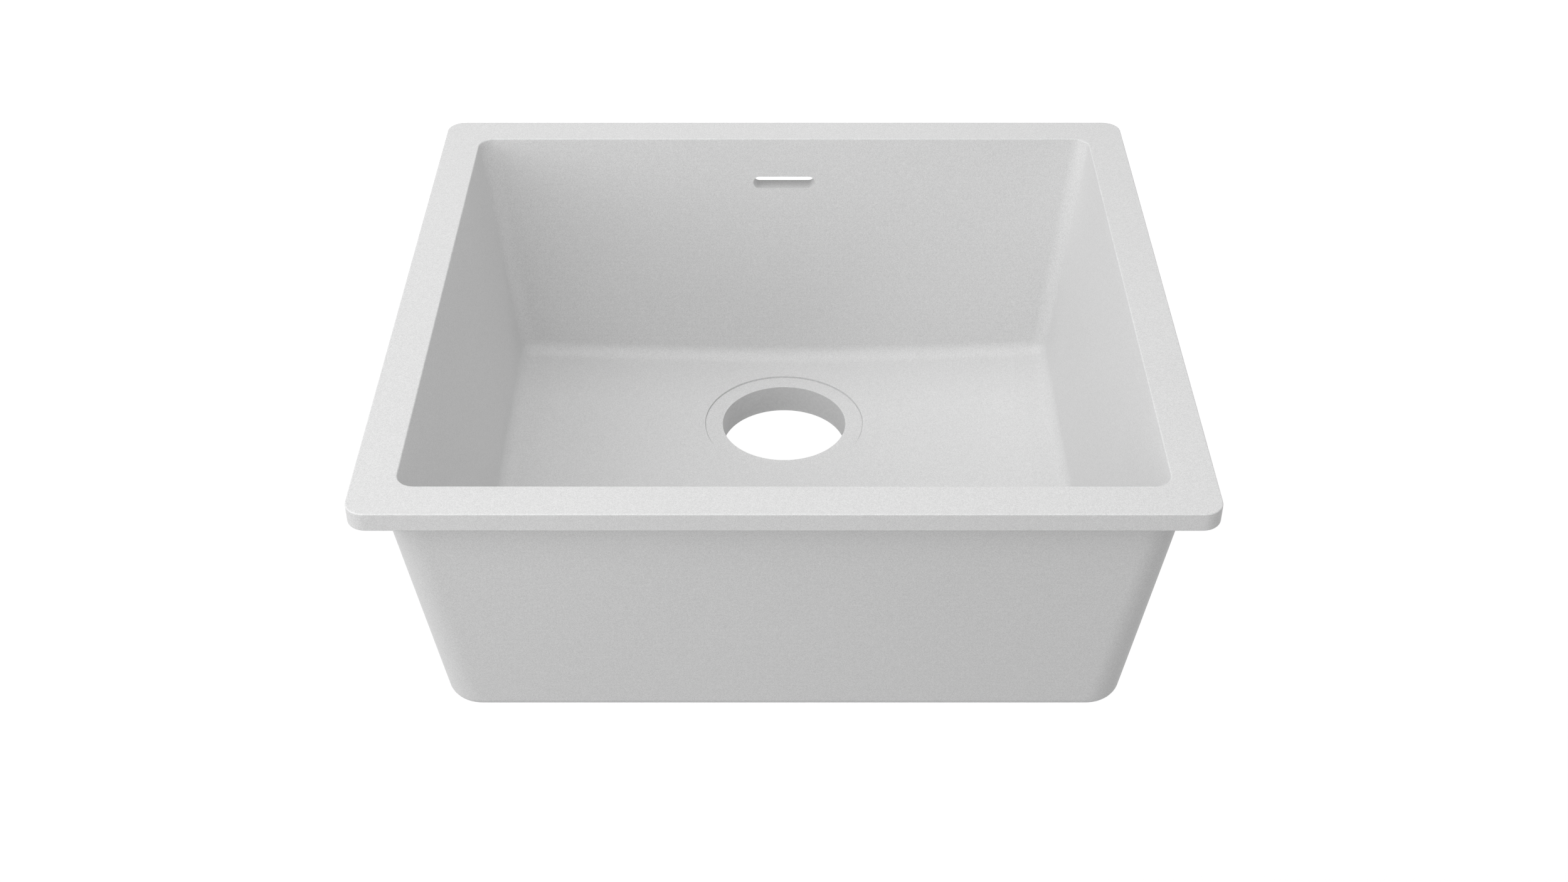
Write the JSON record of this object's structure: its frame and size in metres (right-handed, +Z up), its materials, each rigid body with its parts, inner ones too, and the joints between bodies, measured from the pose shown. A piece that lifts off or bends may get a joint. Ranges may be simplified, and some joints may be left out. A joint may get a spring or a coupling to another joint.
{
  "type": "undermount kitchen sink",
  "caption": "Rectangular cast composite undermount sink with a flat rim, drafted bowl, dished floor, drain outlet, overflow slot and swing-out rim clips.",
  "frame": {"origin": "centre of the rim's top face, which seats against the worktop's underside", "axes": "+X to the right along the rim's longer side, +Y from the front to the back where the overflow slot and the drain are, +Z up, square to the rim's top face"},
  "size_m": [0.49, 0.456, 0.1994],
  "materials": {
    "composite": "matte fine-grained white cast composite",
    "insert_brass": "turned, dull",
    "zinc_steel": "bright zinc plate",
    "clip_steel": "pressed stainless strip"
  },
  "bodies": {
    "sink": {"sink_bowl": "composite", "insert_left_front": "insert_brass", "insert_left_back": "insert_brass", "insert_right_front": "insert_brass", "insert_right_back": "insert_brass", "insert_back_left": "insert_brass", "insert_back_right": "insert_brass", "insert_front_left": "insert_brass", "insert_front_right": "insert_brass", "stud_left_front": "zinc_steel", "stud_left_back": "zinc_steel", "stud_right_front": "zinc_steel", "stud_right_back": "zinc_steel", "stud_back_left": "zinc_steel", "stud_back_right": "zinc_steel"},
    "washer_left_front": {"washer_left_front": "zinc_steel"},
    "nut_left_front": {"nut_left_front": "zinc_steel"},
    "clip_left_front": {"clip_left_front": "clip_steel"},
    "washer_left_back": {"washer_left_back": "zinc_steel"},
    "nut_left_back": {"nut_left_back": "zinc_steel"},
    "clip_left_back": {"clip_left_back": "clip_steel"},
    "washer_right_front": {"washer_right_front": "zinc_steel"},
    "nut_right_front": {"nut_right_front": "zinc_steel"},
    "clip_right_front": {"clip_right_front": "clip_steel"},
    "washer_right_back": {"washer_right_back": "zinc_steel"},
    "nut_right_back": {"nut_right_back": "zinc_steel"},
    "clip_right_back": {"clip_right_back": "clip_steel"},
    "washer_back_left": {"washer_back_left": "zinc_steel"},
    "nut_back_left": {"nut_back_left": "zinc_steel"},
    "clip_back_left": {"clip_back_left": "clip_steel"},
    "washer_back_right": {"washer_back_right": "zinc_steel"},
    "nut_back_right": {"nut_back_right": "zinc_steel"},
    "clip_back_right": {"clip_back_right": "clip_steel"}
  },
  "joints": [
    {"name": "lift_left_front", "type": "slide", "parent": "sink", "child": "washer_left_front", "axis": [0, 0, 1], "range_m": [0, 0.026]},
    {"name": "tighten_left_front", "type": "hinge", "parent": "washer_left_front", "child": "nut_left_front", "pos_m": [-0.2375, -0.125, -0.055], "axis": [0, 0, 1], "range_deg": [0, 9360]},
    {"name": "swing_left_front", "type": "hinge", "parent": "washer_left_front", "child": "clip_left_front", "pos_m": [-0.2375, -0.125, -0.055], "axis": [0, 0, 1], "range_deg": [0, 90]},
    {"name": "lift_left_back", "type": "slide", "parent": "sink", "child": "washer_left_back", "axis": [0, 0, 1], "range_m": [0, 0.026]},
    {"name": "tighten_left_back", "type": "hinge", "parent": "washer_left_back", "child": "nut_left_back", "pos_m": [-0.2375, 0.125, -0.055], "axis": [0, 0, 1], "range_deg": [0, 9360]},
    {"name": "swing_left_back", "type": "hinge", "parent": "washer_left_back", "child": "clip_left_back", "pos_m": [-0.2375, 0.125, -0.055], "axis": [0, 0, 1], "range_deg": [0, 90]},
    {"name": "lift_right_front", "type": "slide", "parent": "sink", "child": "washer_right_front", "axis": [0, 0, 1], "range_m": [0, 0.026]},
    {"name": "tighten_right_front", "type": "hinge", "parent": "washer_right_front", "child": "nut_right_front", "pos_m": [0.2375, -0.125, -0.055], "axis": [0, 0, 1], "range_deg": [0, 9360]},
    {"name": "swing_right_front", "type": "hinge", "parent": "washer_right_front", "child": "clip_right_front", "pos_m": [0.2375, -0.125, -0.055], "axis": [0, 0, 1], "range_deg": [0, 90]},
    {"name": "lift_right_back", "type": "slide", "parent": "sink", "child": "washer_right_back", "axis": [0, 0, 1], "range_m": [0, 0.026]},
    {"name": "tighten_right_back", "type": "hinge", "parent": "washer_right_back", "child": "nut_right_back", "pos_m": [0.2375, 0.125, -0.055], "axis": [0, 0, 1], "range_deg": [0, 9360]},
    {"name": "swing_right_back", "type": "hinge", "parent": "washer_right_back", "child": "clip_right_back", "pos_m": [0.2375, 0.125, -0.055], "axis": [0, 0, 1], "range_deg": [0, 90]},
    {"name": "lift_back_left", "type": "slide", "parent": "sink", "child": "washer_back_left", "axis": [0, 0, 1], "range_m": [0, 0.026]},
    {"name": "tighten_back_left", "type": "hinge", "parent": "washer_back_left", "child": "nut_back_left", "pos_m": [-0.14, 0.2205, -0.055], "axis": [0, 0, 1], "range_deg": [0, 9360]},
    {"name": "swing_back_left", "type": "hinge", "parent": "washer_back_left", "child": "clip_back_left", "pos_m": [-0.14, 0.2205, -0.055], "axis": [0, 0, 1], "range_deg": [0, 90]},
    {"name": "lift_back_right", "type": "slide", "parent": "sink", "child": "washer_back_right", "axis": [0, 0, 1], "range_m": [0, 0.026]},
    {"name": "tighten_back_right", "type": "hinge", "parent": "washer_back_right", "child": "nut_back_right", "pos_m": [0.14, 0.2205, -0.055], "axis": [0, 0, 1], "range_deg": [0, 9360]},
    {"name": "swing_back_right", "type": "hinge", "parent": "washer_back_right", "child": "clip_back_right", "pos_m": [0.14, 0.2205, -0.055], "axis": [0, 0, 1], "range_deg": [0, 90]}
  ],
  "couplings": [
    {"joint": "tighten_left_front", "follows": "lift_left_front", "rad_per_m": 6283.2},
    {"joint": "tighten_left_back", "follows": "lift_left_back", "rad_per_m": 6283.2},
    {"joint": "tighten_right_front", "follows": "lift_right_front", "rad_per_m": 6283.2},
    {"joint": "tighten_right_back", "follows": "lift_right_back", "rad_per_m": 6283.2},
    {"joint": "tighten_back_left", "follows": "lift_back_left", "rad_per_m": 6283.2},
    {"joint": "tighten_back_right", "follows": "lift_back_right", "rad_per_m": 6283.2}
  ]
}
